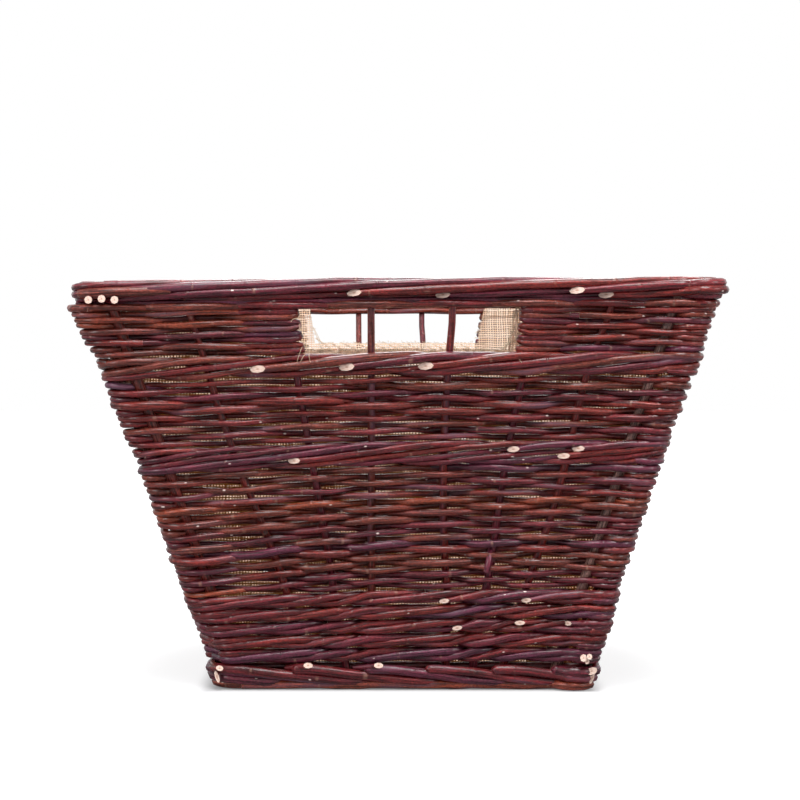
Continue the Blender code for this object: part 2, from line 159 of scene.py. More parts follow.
def layOnWalls(station, inward, z, shift=0.0):
    # station counts uprights round the basket from the front left corner, inward is the depth in the wall
    spread = np.broadcast_arrays(station, inward, z, shift)
    station, inward, z, shift = (np.array(values, float) for values in spread)
    straight = halfWidth(z) - basket["cornerRadius"]
    bend = basket["cornerRadius"] - basket["wall"] / 2
    half = straight + math.pi / 4 * bend
    low = np.floor(station).astype(int)
    part = station - low
    before = (low // 8 * 2 + 1) * half + standingAt(low, z)
    after = ((low + 1) // 8 * 2 + 1) * half + standingAt(low + 1, z)
    along = before * (1 - part) + after * part + shift
    wall = np.floor(along / (2 * half))
    across = along - (2 * wall + 1) * half
    turn = np.maximum(np.abs(across) - straight, 0) / bend
    slack = np.interp(z, corners["heights"], corners["elsewhere"])
    for first, corner in ((31, "frontLeft"), (7, "frontRight")):
        slack = np.where(low % basket["round"] == first, np.interp(z, corners["heights"], corners[corner]), slack)
    inward = inward - np.where(low % 8 == 7, slack * np.sin(math.pi * part) ** 2, 0)
    reach = basket["cornerRadius"] - inward
    x = np.sign(across) * (np.minimum(np.abs(across), straight) + reach * np.sin(turn))
    y = -(straight + reach * np.cos(turn))
    cos, sin = np.cos(wall * math.pi / 2), np.sin(wall * math.pi / 2)
    return np.stack([x * cos - y * sin, x * sin + y * cos, z], -1)


def dipAt(spots):
    x, y, z = spots.T
    half = halfWidth(z)
    onFront = np.clip((dip["levelFrom"] - x) / (dip["levelFrom"] + half), 0, 1)
    onLeft = np.clip((dip["sideReach"] - y) / (dip["sideReach"] + half), 0, 1)
    share = np.where(-y >= np.abs(x), onFront, np.where(-x > np.abs(y), onLeft, 0))
    return np.interp(z, dip["heights"], dip["depths"]) * share ** dip["power"]


def layRow(station, inward, z, shift=0.0):
    # as layOnWalls, but the row sinks as the whole weave does
    level = layOnWalls(station, inward, z, shift)
    return layOnWalls(station, inward, level[:, 2] - dipAt(level), shift)


# ---- rods: many rods are one curve object, turned into one mesh

rodMesh = {
    "sides": 8,
    "step": 0.125,  # between spots, counted in uprights
    "apart": 0.05,  # rough way in metres from one upright to the next
}


def wander(along, size):
    # a slow random wobble along a rod
    first, second = dice.rand(2) * 2 * math.pi
    waves = along / 0.11
    return size * (np.sin(waves * 6.283 + first) + 0.5 * np.sin(waves * 14.1 + second)) / 1.2


def addRod(bundle, spots, thick, mood=None, cuts=(None, None)):
    # thick is the radius at each spot; a cut is the direction that its slanting face looks in
    spots = np.asarray(spots, float)
    bundle.append({
        "spots": spots,
        "thick": np.broadcast_to(np.asarray(thick, float), len(spots)),
        "mood": dice.rand(3) if mood is None else np.asarray(mood, float),
        "cuts": cuts,
    })


def showPiece(name, mesh):
    piece = bpy.data.objects.new(name, mesh)
    scene.collection.objects.link(piece)
    return piece


def fitPiece(piece, node):
    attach(piece, "root")
    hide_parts(node)


def makeRods(name, bundle, node, skin=None, endSkin=None, sides=rodMesh["sides"],
             twist="Z_UP"):
    curve = bpy.data.curves.new(name, "CURVE")
    curve.dimensions = "3D"
    curve.twist_mode = twist
    curve.bevel_depth = 1.0
    curve.bevel_resolution = sides // 2 - 2
    for rod in bundle:
        count = len(rod["spots"])
        spline = curve.splines.new("POLY")
        spline.points.add(count - 1)
        spline.points.foreach_set("co", np.c_[rod["spots"], np.ones(count)].ravel())
        spline.points.foreach_set("radius", rod["thick"])
    line = showPiece(name, curve)
    mesh = bpy.data.meshes.new_from_object(line.evaluated_get(bpy.context.evaluated_depsgraph_get()))
    bpy.data.objects.remove(line)
    bpy.data.curves.remove(curve)

    # every rod keeps its own coordinates for grain, and its own mood for colour
    places = np.zeros(len(mesh.vertices) * 3)
    mesh.vertices.foreach_get("co", places)
    places = places.reshape(-1, sides, 3)
    angles = np.arange(sides) * 2 * math.pi / sides
    rodSpots, rodMoods, first = [], [], 0
    for number, rod in enumerate(bundle):
        spots, thick = rod["spots"], rod["thick"]
        steps = np.linalg.norm(np.diff(spots, axis=0), axis=1)
        along = np.concatenate([[0], np.cumsum(steps)]) + number % 97 * 0.613
        ring = thick[:, None]
        rodSpot = np.stack([
            np.repeat(along[:, None], sides, 1), ring * np.cos(angles), ring * np.sin(angles)
        ], -1)
        for at, inner, way, cut in zip((0, -1), (1, -2), (-1, 1), rod["cuts"]):
            if cut is not None:
                row = first + at % len(spots)
                axis = (spots[at] - spots[inner]) / np.linalg.norm(spots[at] - spots[inner])
                slope = thick[at] * np.linalg.norm(cut) - (places[row] - spots[at]) @ np.asarray(cut)
                places[row] += slope[:, None] * axis
                rodSpot[at, :, 0] += slope * way
        rodSpots.append(rodSpot.reshape(-1, 3))
        rodMoods.append(np.tile(rod["mood"], (len(spots) * sides, 1)))
        first += len(spots)
    mesh.vertices.foreach_set("co", places.ravel())
    for label, values in (("rodSpot", rodSpots), ("rodMood", rodMoods)):
        layer = mesh.attributes.new(label, "FLOAT_VECTOR", "POINT")
        layer.data.foreach_set("vector", np.concatenate(values).ravel())

    shape = bmesh.new()
    shape.from_mesh(mesh)
    for face in shape.faces:
        face.smooth = True
        face.material_index = 0
    openEdges = [edge for edge in shape.edges if edge.is_boundary]
    bmesh.ops.edgeloop_fill(shape, edges=openEdges, mat_nr=1, use_smooth=False)
    for edge in openEdges:
        edge.smooth = False
    bmesh.ops.recalc_face_normals(shape, faces=shape.faces)
    shape.to_mesh(mesh)
    shape.free()
    for part in (skin or darkBark, endSkin or cutWood):
        mesh.materials.append(part)
    fitPiece(showPiece(name, mesh), node)
    print(name, len(bundle), "rods")


# ---- node helpers

class nodeValue:
    # what a node puts out, for sums that are written as with numbers
    def __init__(self, socket):
        self.socket, self.tree = socket, socket.id_data


def plug(socket, value):
    if isinstance(value, nodeValue):
        value.tree.links.new(value.socket, socket)
    else:
        socket.default_value = value


def wire(kind, inputs=None, tree=None, out=0, **settings):
    # a new node, in the tree of what goes into it; gives one of its outputs, or all by name
    inputs = inputs or {}
    tree = tree or next(value.tree for value in inputs.values() if isinstance(value, nodeValue))
    made = tree.nodes.new(kind)
    for key, value in settings.items():
        setattr(made, key, value)
    for key, value in inputs.items():
        plug(made.inputs[key], value)
    if out is None:
        return {socket.name: nodeValue(socket) for socket in made.outputs}
    return nodeValue(made.outputs[out])


def sums(operation, first, second=0.0):
    return wire("ShaderNodeMath", {0: first, 1: second}, operation=operation)


def vectors(operation, first, second=(0, 0, 0), out=0):
    return wire("ShaderNodeVectorMath", {0: first, 1: second}, out=out, operation=operation)


for sign, operation in (("add", "ADD"), ("sub", "SUBTRACT"), ("mul", "MULTIPLY"), ("truediv", "DIVIDE"),
                        ("pow", "POWER"), ("mod", "MODULO")):
    setattr(nodeValue, f"__{sign}__", lambda own, other, how=operation: sums(how, own, other))
    setattr(nodeValue, f"__r{sign}__", lambda own, other, how=operation: sums(how, other, own))


def split(vector):
    return list(wire("ShaderNodeSeparateXYZ", {0: vector}, out=None).values())


def ease(value, low, high, lowTo=0.0, highTo=1.0):
    # a soft step from low to high
    return wire("ShaderNodeMapRange", {
        "Value": value, "From Min": low, "From Max": high, "To Min": lowTo, "To Max": highTo,
    }, interpolation_type="SMOOTHSTEP")


def blend(share, first, second, how="MIX"):
    return wire("ShaderNodeMix", {"Factor": share, "A": first, "B": second}, out=2,
                data_type="RGBA", blend_type=how)


def shaded(colour, bright):
    grey = wire("ShaderNodeCombineColor", {0: bright, 1: bright, 2: bright})
    return blend(1.0, colour, grey, "MULTIPLY")


def stretch(vector, scale):
    return wire("ShaderNodeMapping", {"Vector": vector, "Scale": scale})


def noise(vector, scale, detail=2.0, roughness=0.5, out=0):
    return wire("ShaderNodeTexNoise", {
        "Vector": stretch(vector, scale), "Scale": 1.0, "Detail": detail, "Roughness": roughness,
    }, out=out)


def bumps(height, strength, depth):
    return wire("ShaderNodeBump", {"Height": height, "Strength": strength, "Distance": depth})


def ramp(value, stops):
    made = wire("ShaderNodeValToRGB", {"Fac": value})
    bar = made.socket.node.color_ramp.elements
    while len(bar) < len(stops):
        bar.new(0.5)
    for element, (place, colour) in zip(bar, stops):
        element.position = place
        element.color = paint(*colour)
    return made


def newGroup(name, inputs, outputs):
    group = bpy.data.node_groups.new(name, "ShaderNodeTree")
    for label, kind, value in inputs:
        socket = group.interface.new_socket(label, in_out="INPUT", socket_type="NodeSocket" + kind)
        if value is not None:
            socket.default_value = value
    for label in outputs:
        group.interface.new_socket(label, in_out="OUTPUT", socket_type="NodeSocketFloat")
    return group, wire("NodeGroupInput", tree=group, out=None)


def closeGroup(group, **values):
    given = group.nodes.new("NodeGroupOutput")
    for label, value in values.items():
        plug(given.inputs[label], value)


def newSkin(name):
    skin = bpy.data.materials.new(name)
    skin.use_nodes = True
    return skin, skin.node_tree, skin.node_tree.nodes["Principled BSDF"]


def feed(shader, **sockets):
    for key, value in sockets.items():
        plug(shader.inputs[key.replace("_", " ")], value)


# ---- willow skins

# What all rods share: long streaks, blotches, leaf scars and pale flecks
grain, taken = newGroup(
    "rodGrain",
    [("Spot", "Vector", None), ("Mood", "Vector", None), ("Scar Spacing", "Float", 0.036),
     ("Fleck Share", "Float", 0.04)],
    ["Streak", "Mottle", "Blotch", "Scar", "Fleck", "Height"],
)
spot = taken["Spot"]
streak = noise(spot, (34, 700, 700), 3.0, 0.6)
mottle = noise(spot, (480, 900, 900), 3.0, 0.65)
turns = split(spot)[0] / taken["Scar Spacing"] + noise(spot, (9, 0, 0)) * 1.6 + split(taken["Mood"])[1]
scarRing = ease(sums("ABSOLUTE", sums("FRACT", turns) - 0.5), 0.008, 0.038, 1.0, 0.0)
scarSide = ease(noise(spot, (43, 240, 240), 1.0), 0.52, 0.70)
flecks = wire("ShaderNodeTexVoronoi", {"Vector": stretch(spot, (0.55, 1, 1)), "Scale": 330.0}, out=None)
fleckPick = wire("ShaderNodeSeparateColor", {0: flecks["Color"]})
closeGroup(
    grain, Streak=streak, Mottle=mottle, Blotch=noise(spot, (22, 150, 150)), Scar=scarRing * scarSide,
    Fleck=ease(flecks["Distance"], 0.12, 0.30, 1.0, 0.0)
    * sums("GREATER_THAN", fleckPick, 1.0 - taken["Fleck Share"]),
    Height=streak * 0.9 + scarRing * 0.9 + mottle * 0.5,
)

bark = {
    "tones": (  # screen colours, from purple brown to orange brown
        (0.00, (80, 32, 52)), (0.16, (86, 27, 40)), (0.36, (96, 26, 29)), (0.55, (108, 34, 28)),
        (0.70, (98, 44, 36)), (0.90, (108, 44, 32)), (1.00, (126, 55, 34)),
    ),
    "bloom": (126, 90, 112),  # the grey violet film of dried bark
    "bloomShare": 0.42,
    "scar": (168, 126, 108),
    "scarShare": 0.42,
    "fleck": (226, 204, 196),
    "scarSpacing": 0.047,
    "fleckShare": 0.016,
    "bump": 0.6,
    "bumpDepth": 0.0004,
}


def makeBark(name, **changes):
    values = {**bark, **changes}
    skin, tree, shader = newSkin(name)
    spot, mood = (wire("ShaderNodeAttribute", tree=tree, out="Vector", attribute_name=label)
                  for label in ("rodSpot", "rodMood"))
    marks = wire("ShaderNodeGroup", {
        "Spot": spot, "Mood": mood, "Scar Spacing": values["scarSpacing"], "Fleck Share": values["fleckShare"],
    }, out=None, node_tree=grain)
    moods = split(mood)
    colour = ramp(moods[0] + (marks["Blotch"] - 0.5) * 0.30, values["tones"])
    bright = ease(marks["Streak"], 0.34, 0.68, 0.34, 1.72) * ease(marks["Mottle"], 0.34, 0.66, 0.58, 1.46)
    film = ease(marks["Blotch"], 0.48, 0.72) * ease(moods[2], 0.45, 1.0) * values["bloomShare"]
    colour = blend(film, shaded(colour, bright), paint(*values["bloom"]))
    colour = blend(marks["Scar"] * values["scarShare"], colour, paint(*values["scar"]))
    colour = blend(marks["Fleck"], colour, paint(*values["fleck"]))
    feed(shader, Base_Color=colour, Roughness=ease(marks["Streak"], 0.2, 0.8, 0.21, 0.36) + film * 0.22,
         Normal=bumps(marks["Height"], values["bump"], values["bumpDepth"]), Specular_IOR_Level=0.36)
    return skin


darkBark = makeBark("darkWillowBark")
baseBark = makeBark(
    "baseWillowBark", fleckShare=0.01,
    tones=((0.0, (104, 66, 54)), (0.4, (122, 76, 54)), (0.7, (136, 92, 62)), (1.0, (156, 108, 74))),
)
greyBark = makeBark(
    "greyWillowBark", bloom=(176, 148, 140), scarSpacing=0.05, fleckShare=0.01,
    tones=((0.0, (120, 86, 80)), (0.5, (140, 104, 94)), (1.0, (162, 126, 112))),
)

# A cut end: pale wood with a darker pith
cutTones = {"wood": (240, 214, 200), "inner": (226, 190, 172), "pith": (190, 140, 116), "pithRadius": 0.0006}
cutWood, tree, shader = newSkin("cutWillow")
spot = wire("ShaderNodeAttribute", tree=tree, out="Vector", attribute_name="rodSpot")
rings = noise(spot, (0, 900, 900), 3.0)
colour = blend(ease(rings, 0.35, 0.65), paint(*cutTones["wood"]), paint(*cutTones["inner"]))
fromPith = vectors("LENGTH", stretch(spot, (0, 1, 1)), out="Value")
pith = ease(fromPith, cutTones["pithRadius"] * 0.6, cutTones["pithRadius"] * 1.3, 0.8, 0.0)
colour = blend(pith, colour, paint(*cutTones["pith"]))
feed(shader, Base_Color=colour, Roughness=0.75, Normal=bumps(rings, 0.4, 0.0003))

# Sewing thread, twisted
threadSkin, tree, shader = newSkin("sewingThread")
spot = wire("ShaderNodeAttribute", tree=tree, out="Vector", attribute_name="rodSpot")
twist = sums("SINE", split(spot)[0] * 5200.0)
feed(shader, Base_Color=ramp(twist, [(0.0, (196, 170, 140)), (1.0, (236, 216, 190))]), Roughness=0.8,
     Normal=bumps(twist, 0.4, 0.0002))
print("willow and thread skins ready")


# ---- weaving

def crossing(stations, isBefore, thick, z):
    # the depth of a rod that passes before or behind each upright
    low = np.floor(stations).astype(int)
    part = stations - low
    first, second = isBefore(low), isBefore(low + 1)
    # beside a corner it changes sides late, and stands out a little just before
    turning = (low % 8 == 7) & (first != second)
    liftAt = np.where(first, 1 - corners["liftAt"], corners["liftAt"])
    lift = corners["lift"] * np.exp(-((part - liftAt) / corners["liftReach"]) ** 2) * turning
    late = corners["late"]
    part = np.where(turning, np.clip((part - first * late) / (1 - late), 0, 1), part)
    part = (1 - np.cos(math.pi * part)) / 2
    middle = basket["wall"] / 2

    def depthAt(number, before):
        clear = stickRadius(number, z) + thick
        behind = np.minimum(middle + clear, basket["wall"] - thick - basket["squeeze"])
        behind = behind - corners["shallow"] * np.isin(number % 8, (0, 7))
        return np.where(before, middle - clear, behind)
    return depthAt(low, first) * (1 - part) + depthAt(low + 1, second) * part - lift


def rodTaper(count, butt, tip, buttFirst=True):
    share = np.linspace(0, 1, count)
    return butt + (tip - butt) * (share if buttFirst else 1 - share)


def splitRound(start, total, step, shortest, longest):
    # rod ends round a band: places step uprights apart, where the rod is behind a stake
    places, here = [start], start
    while start + total - here > longest:
        here += step * dice.randint(shortest // step, longest // step + 1)
        if start + total - here < shortest:
            break
        places.append(here)
    return places + [start + total]


def showEnds(values, stations, begin, end, thick, inward):
    # a rod whose cut shows comes forward there, and the rod before it ends underneath
    if begin[1]:
        newness = np.exp(-((stations - begin[0]) / values["newReach"]) ** 2)
        inward = inward - newness * (values["newLift"] + thick - values["cutRadius"])
        thick = thick + (values["cutRadius"] - thick) * newness
    if end[1]:
        stale = np.clip(1 - (end[0] - stations) / 0.8, 0, 1)
        inward = inward + values["oldSink"] * stale
        thick = thick * (1 - values["oldThin"] * stale)
    return thick, inward


def stationOf(x, z):
    # where a rod starts whose cut end is seen at x on the front wall, counted in uprights
    slant = 0.0052
    places = standingAt(np.arange(8), np.full(8, float(z)))
    return float(np.interp(x + slant, places, np.arange(8)))


def shareCuts(cuts, loops, laps, heightOf):
    # each cut end goes to the strand that lies nearest to its height there, and isn't hidden
    placesOf = [[] for loop in range(loops)]
    for x, up in cuts:
        here = stationOf(x, up)
        found = []
        for loop in range(loops):
            for lap in range(laps):
                place = here + lap * basket["round"]
                height, hidden = heightOf(place, loop)
                found.append((abs(height - up) + hidden, loop, place))
        loop, place = min(found)[1:]
        placesOf[loop].append(place)
    return placesOf


def bandOf(node):
    low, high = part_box(node)
    return low.z, high.z


def smoothLine(points, count):
    share = np.linspace(0, len(points) - 1, count)
    line = np.stack([np.interp(share, range(len(points)), axis) for axis in np.array(points).T], -1)
    line[2:-2] = (line[:-4] + line[1:-3] + line[2:-2] + line[3:-1] + line[4:]) / 5
    return line


# Plain weave: twenty rows below the middle wale and ten above it
weave = {
    "bands": (("lowerWeaveRods", "lower_weave", 20), ("upperWeaveRods", "upper_weave", 10)),
    "butt": 0.0031,
    "tip": 0.0023,
    "sizes": (0.80, 1.20),
    "shortest": 10,  # uprights that a rod passes
    "longest": 18,
    "overrun": 0.38,  # how far an end runs past its last upright
    "pinch": 0.07,  # rods draw thin where rows cross between two uprights
    "rise": 0.0008,
    "stray": 0.0003,  # of a whole rod, up or down
    "endSlip": 0.0009,  # an end slips up or down past the next rod's
    "slipReach": 0.75,
    "endSink": 0.0014,
    "sinkReach": 0.4,
    "endThin": 0.55,
    "thinReach": 0.25,
    # rows close up in pairs beside the front left corner stick, so that the cloth shows between the pairs
    "pairing": 0.0017,
    "pairedFrom": (0.088, 0.186),
    "pairedAt": 0.62,  # counted in uprights
    "pairedReach": 0.36,
}


def plainRow(bundle, row, z, start):
    # one round of plain weave, in which row and upright decide what is before
    first = start + (start + row + 1) % 2
    ends = splitRound(first, basket["round"], 2, weave["shortest"], weave["longest"])
    for begin, end in zip(ends[:-1], ends[1:]):
        stations = np.arange(begin - weave["overrun"], end + weave["overrun"] + 0.01, rodMesh["step"])
        size = dice.uniform(*weave["sizes"])
        thick = rodTaper(len(stations), weave["butt"] * size, weave["tip"] * size, dice.rand() < 0.7)
        level = z + wander(stations * rodMesh["apart"], weave["rise"]) + dice.normal(0, weave["stray"])
        fromEnd = np.minimum(stations - stations[0], stations[-1] - stations)
        slips = np.where(stations < stations.mean(), 1, -1) * (fromEnd < weave["slipReach"])
        level = level + weave["endSlip"] * slips
        if weave["pairedFrom"][0] < z < weave["pairedFrom"][1]:
            half = basket["round"] / 2
            near = (np.mod(stations + half, basket["round"]) - half - weave["pairedAt"]) / weave["pairedReach"]
            level = level + weave["pairing"] * (-1) ** row * np.exp(-near ** 2)
        fromBend = stations + 0.5 - 8 * np.round((stations + 0.5) / 8)
        thick = thick * (1 - weave["pinch"] * np.sin(math.pi * stations) ** 2)
        thick = thick * (1 + corners["swell"] * np.exp(-(fromBend / corners["swellReach"]) ** 2))
        thick = thick * (1 - weave["endThin"] * np.clip(1 - fromEnd / weave["thinReach"], 0, 1))
        inward = crossing(stations, lambda number: (number + row) % 2 == 0, thick, level)
        inward = inward + weave["endSink"] * np.clip(1 - fromEnd / weave["sinkReach"], 0, 1)
        addRod(bundle, layRow(stations, inward, level), thick)


for name, node, rows in weave["bands"]:
    low, high = bandOf(node)
    bundle = []
    for row in range(rows):
        plainRow(bundle, row, low + (row + 0.5) * (high - low) / rows, int(dice.randint(0, 16)) * 2)
    makeRods(name, bundle, node)

# Wales: rounds of thicker rods; each cut end is a place on the front wall, across and up
allWales = {
    "shortest": 9,  # uprights that a rod passes
    "longest": 17,
    "apart": 5,  # between one rod's start and the next one's
    "overrun": 0.3,
    "sizes": (0.90, 1.08),
    "pinch": 0.10,  # a rod draws thin where it goes behind
    "hidden": 0.45,  # nearer than this to the upright that it goes behind, a rod isn't seen
    "rise": 0.0005,
    "slope": 2.1,  # of a cut end
    "newReach": 0.28, "newLift": 0.0010, "oldSink": 0.0022, "oldThin": 0.45,
}
wales = {
    "lowerWaleRods": {
        "node": "lower_wale", "rounds": 5, "strands": 3, "radii": (0.0037, 0.0030), "cutRadius": 0.0020,
        "hues": (0.0, 0.50),
        "cuts": ((0.0353, 0.0780), (0.1026, 0.0780), (0.0462, 0.0557), (0.0980, 0.0591), (0.1541, 0.0565)),
        "torn": ((0.1515, 0.0300, 0.0030), (0.1563, 0.0310, 0.0024), (0.1545, 0.0268, 0.0021)),
    },
    "middleWaleRods": {
        "node": "middle_wale", "rounds": 1, "strands": 5, "radii": (0.0031, 0.0024), "cutRadius": 0.0024,
        "hues": (0.0, 0.60),
        "cuts": ((0.0906, 0.2041), (0.1316, 0.2008), (0.1434, 0.2074), (-0.0859, 0.1980)),
    },
    "holeWaleRods": {
        "node": "hole_wale", "rounds": 1, "strands": 4, "radii": (0.0037, 0.0029), "cutRadius": 0.0030,
        "hues": (0.2, 0.95), "cuts": ((-0.1124, 0.2738), (-0.0412, 0.2738), (0.0214, 0.2718)),
    },
    "topWaleRods": {
        "node": "top_wale", "rounds": 1, "strands": 2, "radii": (0.0033, 0.0029), "hues": (0.3, 0.9), "cuts": (),
    },
}


def levelOf(phase, strands):
    # 0 is the middle: out at the bottom row, up a row for each upright, in at the top and down again behind
    rows = (strands - 2) / 2
    behind = np.where(phase > strands / 2, phase - strands, phase)
    rising = np.clip(phase - strands / 2, -rows, rows)
    return np.where(np.abs(behind) < 0.5, -rows * np.sin(math.pi * behind), rising)


def waleRound(bundle, z, roundHeight, values, seed):
    # rods go before all uprights but one in turn, and rise from the lowest row to the top one
    strands = values["strands"]
    rowHeight = roundHeight / (strands - 1)
    loops = math.gcd(strands, basket["round"])
    total = basket["round"] * strands // loops

    def heightOf(place, loop):
        phase = (place - loop - seed) % strands
        return z + float(levelOf(phase, strands)) * rowHeight, min(phase, strands - phase) < values["hidden"]
    inRound = [(x, up) for x, up in values["cuts"] if abs(up - z) <= roundHeight / 2]
    for loop, cuts in enumerate(shareCuts(inRound, loops, strands // loops, heightOf)):
        start = loop + seed
        ends = splitRound(start, total, strands, values["shortest"], values["longest"])
        marks = [(place, False) for place in ends]
        marks = sorted(marks + [(start + (place - start) % total, True) for place in cuts])
        joined = marks[:1]
        for place, shows in marks[1:]:
            if shows and not joined[-1][1] and place - joined[-1][0] < values["apart"] and len(joined) > 1:
                joined.pop()
            if shows or place - joined[-1][0] > values["apart"]:
                joined.append((place, shows))
        if joined[-1][0] < start + total:
            joined.append((start + total, False))
        for begin, end in zip(joined[:-1], joined[1:]):
            first = begin[0] if begin[1] else begin[0] - values["overrun"]
            last = end[0] - 0.02 if end[1] else end[0] + values["overrun"]
            stations = np.append(np.arange(first, last - 0.05, rodMesh["step"]), last)
            phase = (stations - start) % strands
            size = dice.uniform(*values["sizes"])
            thick = rodTaper(len(stations), *(radius * size for radius in values["radii"]))
            thick = thick * (1 - values["pinch"] * np.clip(1 - np.minimum(phase, strands - phase), 0, 1))
            level = z + levelOf(phase, strands) * rowHeight
            level = level + wander(stations * rodMesh["apart"], values["rise"])
            inward = crossing(stations, lambda number: (number - start) % strands != 0, thick, level)
            thick, inward = showEnds(values, stations, begin, end, thick, inward)
            mood = (dice.uniform(*values["hues"]), dice.rand(), dice.rand())
            cut = layOnWalls(begin[0], [-1.0, 0.0], z)
            cut = (cut[0] - cut[1]) * values["slope"] if begin[1] else None
            addRod(bundle, layRow(stations, inward, level), thick, mood, cuts=(cut, None))


for name, values in wales.items():
    low, high = bandOf(values["node"])
    roundHeight = (high - low) / values["rounds"]
    bundle = []
    for number in range(values["rounds"]):
        waleRound(bundle, low + (number + 0.5) * roundHeight, roundHeight, {**allWales, **values}, number)
    for x, up, size in values.get("torn", ()):
        ys = np.linspace(-halfWidth(up) - 0.0118, -halfWidth(up) + 0.006, 5)
        addRod(bundle, np.c_[np.full(5, x), ys, np.full(5, up)], size, cuts=((0.25, -0.5, 0.35), None))
    makeRods(name, bundle, values["node"])

# The weave either side of the hand holes goes to and fro, round the stake at each hole's edge
hands = {
    "rows": 8,
    "radius": 0.0026,
    "stray": 0.0007,
    "frontEdges": (5, 34),
    "reach": 1.25,  # how far a turn reaches past the stake there
    "swell": 0.06,
    "pinch": 0.06,
    "sizes": (0.94, 1.06),
    "lengths": (70, 120),  # of the rods, in spots
    "shortest": 40,
    "endReach": 0.62,
    "endStray": 0.0003,
    "sides": (("rightHandRods", "right_hand_weave", 5, 18), ("leftHandRods", "left_hand_weave", 21, 34)),
}
for name, node, first, last in hands["sides"]:
    low, high = bandOf(node)
    pitch = (high - low) / hands["rows"]
    turn = np.linspace(0, math.pi, 7)[1:-1]
    path = []  # station, row and angle of turn
    for row in range(hands["rows"]):
        way = 1 if row % 2 == 0 else -1
        run = np.arange(first, last + 0.01, rodMesh["step"])[::way]
        path += [(station, row, 0.0) for station in run]
        path += [(run[-1], row + angle / math.pi, angle * way) for angle in turn]
    stations, rows, angles = np.array(path[:-len(turn)]).T
    number = np.round(stations).astype(int)
    fromEdge = np.minimum(stations - first, last - stations)
    thick = hands["radius"] * (1 - hands["pinch"] * np.sin(math.pi * stations) ** 2
                               + hands["swell"] * np.exp(-(fromEdge / 0.3) ** 2))
    level = low + (rows + 0.5) * pitch
    clear = stickRadius(number, level) + thick
    outFirst = np.where((number + np.floor(rows + 1e-6).astype(int)) % 2 == 0, -1, 1)
    inward = np.where(
        angles == 0, crossing(stations, lambda upright: (upright + np.round(rows)) % 2 == 0, thick, level),
        basket["wall"] / 2 + outFirst * clear * np.cos(angles),
    )
    reach = np.where(np.isin(number, hands["frontEdges"]), hands["reach"], 1.0)
    shift = np.where(angles == 0, 0.0, clear * np.sin(angles) * reach)
    bundle, at, end = [], 0, len(stations) - 1
    while at < end:
        stop = at + int(dice.randint(*hands["lengths"]))
        stop = end if end + 1 - stop < hands["shortest"] else stop
        part = slice(at, stop + 1)
        size = dice.uniform(*hands["sizes"])
        strayed = level[part] + wander(stations[part] * rodMesh["apart"], hands["stray"]) * (angles[part] == 0)
        addRod(bundle, layRow(stations[part], inward[part], strayed, shift[part]), thick[part] * size)
        at = stop
    # rows that come from behind end in a short turn to the front
    for row in range(hands["rows"]):
        for edge, into in ((first, 1), (last, -1)):
            if (edge + row) % 2 == 0 and 0 < row < hands["rows"] - 1:
                continue
            share = np.linspace(0, 1, 8)[:-1]
            run = np.concatenate([hands["endReach"] * (1 - share), np.zeros(8), 0.5 * share[1:]])
            angles = np.concatenate([np.zeros(7), np.linspace(0, math.pi, 8), np.full(6, math.pi)])
            close = (1 + np.cos(math.pi * np.minimum(run / hands["endReach"], 1))) / 2
            level = low + (row + 0.5) * pitch + wander(run * rodMesh["apart"], hands["endStray"])
            thick = hands["radius"] * dice.uniform(*hands["sizes"]) * (0.62 + 0.42 * close)
            clear = (stickRadius(edge, level) + thick) * close
            depth = basket["wall"] / 2 - clear * np.cos(angles)
            reach = hands["reach"] if edge in hands["frontEdges"] else 1.0
            spots = layRow(edge + into * run, depth, level, -into * clear * np.sin(angles) * reach)
            addRod(bundle, spots, thick)
    makeRods(name, bundle, node)

# Rolled rim border: six strands turn round a core and rise to the right on the outer face
border = {
    "strands": 6,
    "laps": 3,  # rounds that a strand takes to meet its own start
    "turns": 16 / 6,
    "radius": 0.0037,
    "sizes": (0.92, 1.04),
    "lengths": (8, 14),  # least lengths, counted in uprights
    "hiddenAt": 0.62,  # share of a turn
    "faceFrom": 0.4,  # a strand is seen where it lies further out than this share of its reach
    "apart": 4,  # between a hidden end and one that shows
    "lastApart": 5,  # between a hidden end and the end of the laps
    "overrun": 0.3,
    "between": 0.06,  # rough way in metres from one upright to the next
    "rise": 0.0003,
    "taper": 0.88,
    "hues": (0.10, 0.52),
    "cutRadius": 0.0027,
    "newReach": 0.35, "newLift": 0.0012, "oldSink": 0.0030, "oldThin": 0.5,
    "inward": 0.00925,
    "middleZ": 0.3330,
    "acrossReach": 0.0068,
    "upReach": 0.0056,
    "cuts": ((-0.0352, 0.3299), (0.0344, 0.3292), (0.1386, 0.3284), (0.1621, 0.3268)),
    # depth, height and radius of the rod in its middle and of the one that closes its foot
    "cores": ((0.00925, 0.3330, 0.0034), (0.0075, 0.3246, 0.0027)),
    "cornerRod": ((-0.2500, -0.205, 0.331), (-0.2518, -0.235, 0.330), (-0.2505, -0.2480, 0.3285),
                  (-0.2420, -0.2535, 0.3285), (-0.2200, -0.2540, 0.3300), (-0.180, -0.2500, 0.3310)),
}


def rollPhase(station, loop):
    return 2 * math.pi * (station / basket["round"] * border["turns"] + loop / border["strands"])


def rollHeight(station, loop):
    phase = rollPhase(station, loop)
    return border["middleZ"] + border["upReach"] * math.sin(phase), math.cos(phase) <= border["faceFrom"]


